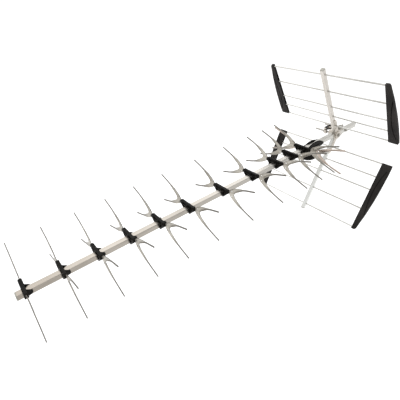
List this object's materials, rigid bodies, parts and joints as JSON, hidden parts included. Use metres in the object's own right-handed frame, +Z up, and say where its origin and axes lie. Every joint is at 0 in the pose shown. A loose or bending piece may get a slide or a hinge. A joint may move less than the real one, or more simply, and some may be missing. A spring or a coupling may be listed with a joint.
{
  "type": "uhf antenna",
  "caption": "Long directional UHF antenna: square boom with forked directors, dipole box with a coaxial socket, angled rod reflector and a mast clamp.",
  "frame": {"origin": "on the mast axis in the clamp, level with the middle of the boom", "axes": "+X along the boom towards its front tip, which points at the transmitter, +Z up along the mast, +Y from the mast to the boom and on to the near side"},
  "size_m": [1.256, 0.4162, 0.5246],
  "materials": {
    "aluminium_tube": "brushed extrusion",
    "aluminium_rod": "drawn",
    "aluminium_stamping": "satin, stamped",
    "aluminium_sheet": "satin",
    "black_moulding": "fine grained",
    "grey_plug": "smooth",
    "zinc_plated_steel": "zinc plated",
    "nickel_plated_brass": "nickel plated",
    "white_insulator": "smooth",
    "circuit_board": "coated"
  },
  "bodies": {
    "root": {"arm_cap_lower": "grey_plug", "arm_cap_upper": "grey_plug", "balun_board": "circuit_board", "boom": "aluminium_tube", "boom_front_cap": "grey_plug", "boom_rear_cap": "grey_plug", "box_screws": "zinc_plated_steel", "clamp_bolts": "zinc_plated_steel", "clamp_jaw": "black_moulding", "clamp_nuts": "zinc_plated_steel", "clamp_saddle": "black_moulding", "coax_socket": "nickel_plated_brass", "dipole_box": "black_moulding", "dipole_box_cover": "black_moulding", "director_01": "aluminium_stamping", "director_02": "aluminium_stamping", "director_03": "aluminium_stamping", "director_04": "aluminium_stamping", "director_05": "aluminium_stamping", "director_06": "aluminium_stamping", "director_07": "aluminium_stamping", "director_08": "aluminium_stamping", "director_09": "aluminium_stamping", "director_10": "aluminium_stamping", "director_11": "aluminium_stamping", "director_holder_01": "black_moulding", "director_holder_02": "black_moulding", "director_holder_03": "black_moulding", "director_holder_04": "black_moulding", "director_holder_05": "black_moulding", "director_holder_06": "black_moulding", "director_holder_07": "black_moulding", "director_holder_08": "black_moulding", "director_holder_09": "black_moulding", "director_holder_10": "black_moulding", "director_holder_11": "black_moulding", "driven_element_far": "aluminium_stamping", "driven_element_near": "aluminium_stamping", "end_plate_lower_far": "black_moulding", "end_plate_lower_near": "black_moulding", "end_plate_upper_far": "black_moulding", "end_plate_upper_near": "black_moulding", "hub_plate": "aluminium_sheet", "hub_rivets": "aluminium_sheet", "reflector_arm_lower": "aluminium_tube", "reflector_arm_upper": "aluminium_tube", "reflector_rod_lower_1": "aluminium_rod", "reflector_rod_lower_2": "aluminium_rod", "reflector_rod_lower_3": "aluminium_rod", "reflector_rod_lower_4": "aluminium_rod", "reflector_rod_lower_5": "aluminium_rod", "reflector_rod_upper_1": "aluminium_rod", "reflector_rod_upper_2": "aluminium_rod", "reflector_rod_upper_3": "aluminium_rod", "reflector_rod_upper_4": "aluminium_rod", "reflector_rod_upper_5": "aluminium_rod", "saddle_bolt": "zinc_plated_steel", "socket_insulator": "white_insulator", "terminal_screws": "zinc_plated_steel", "wing_nut": "zinc_plated_steel"}
  },
  "joints": []
}
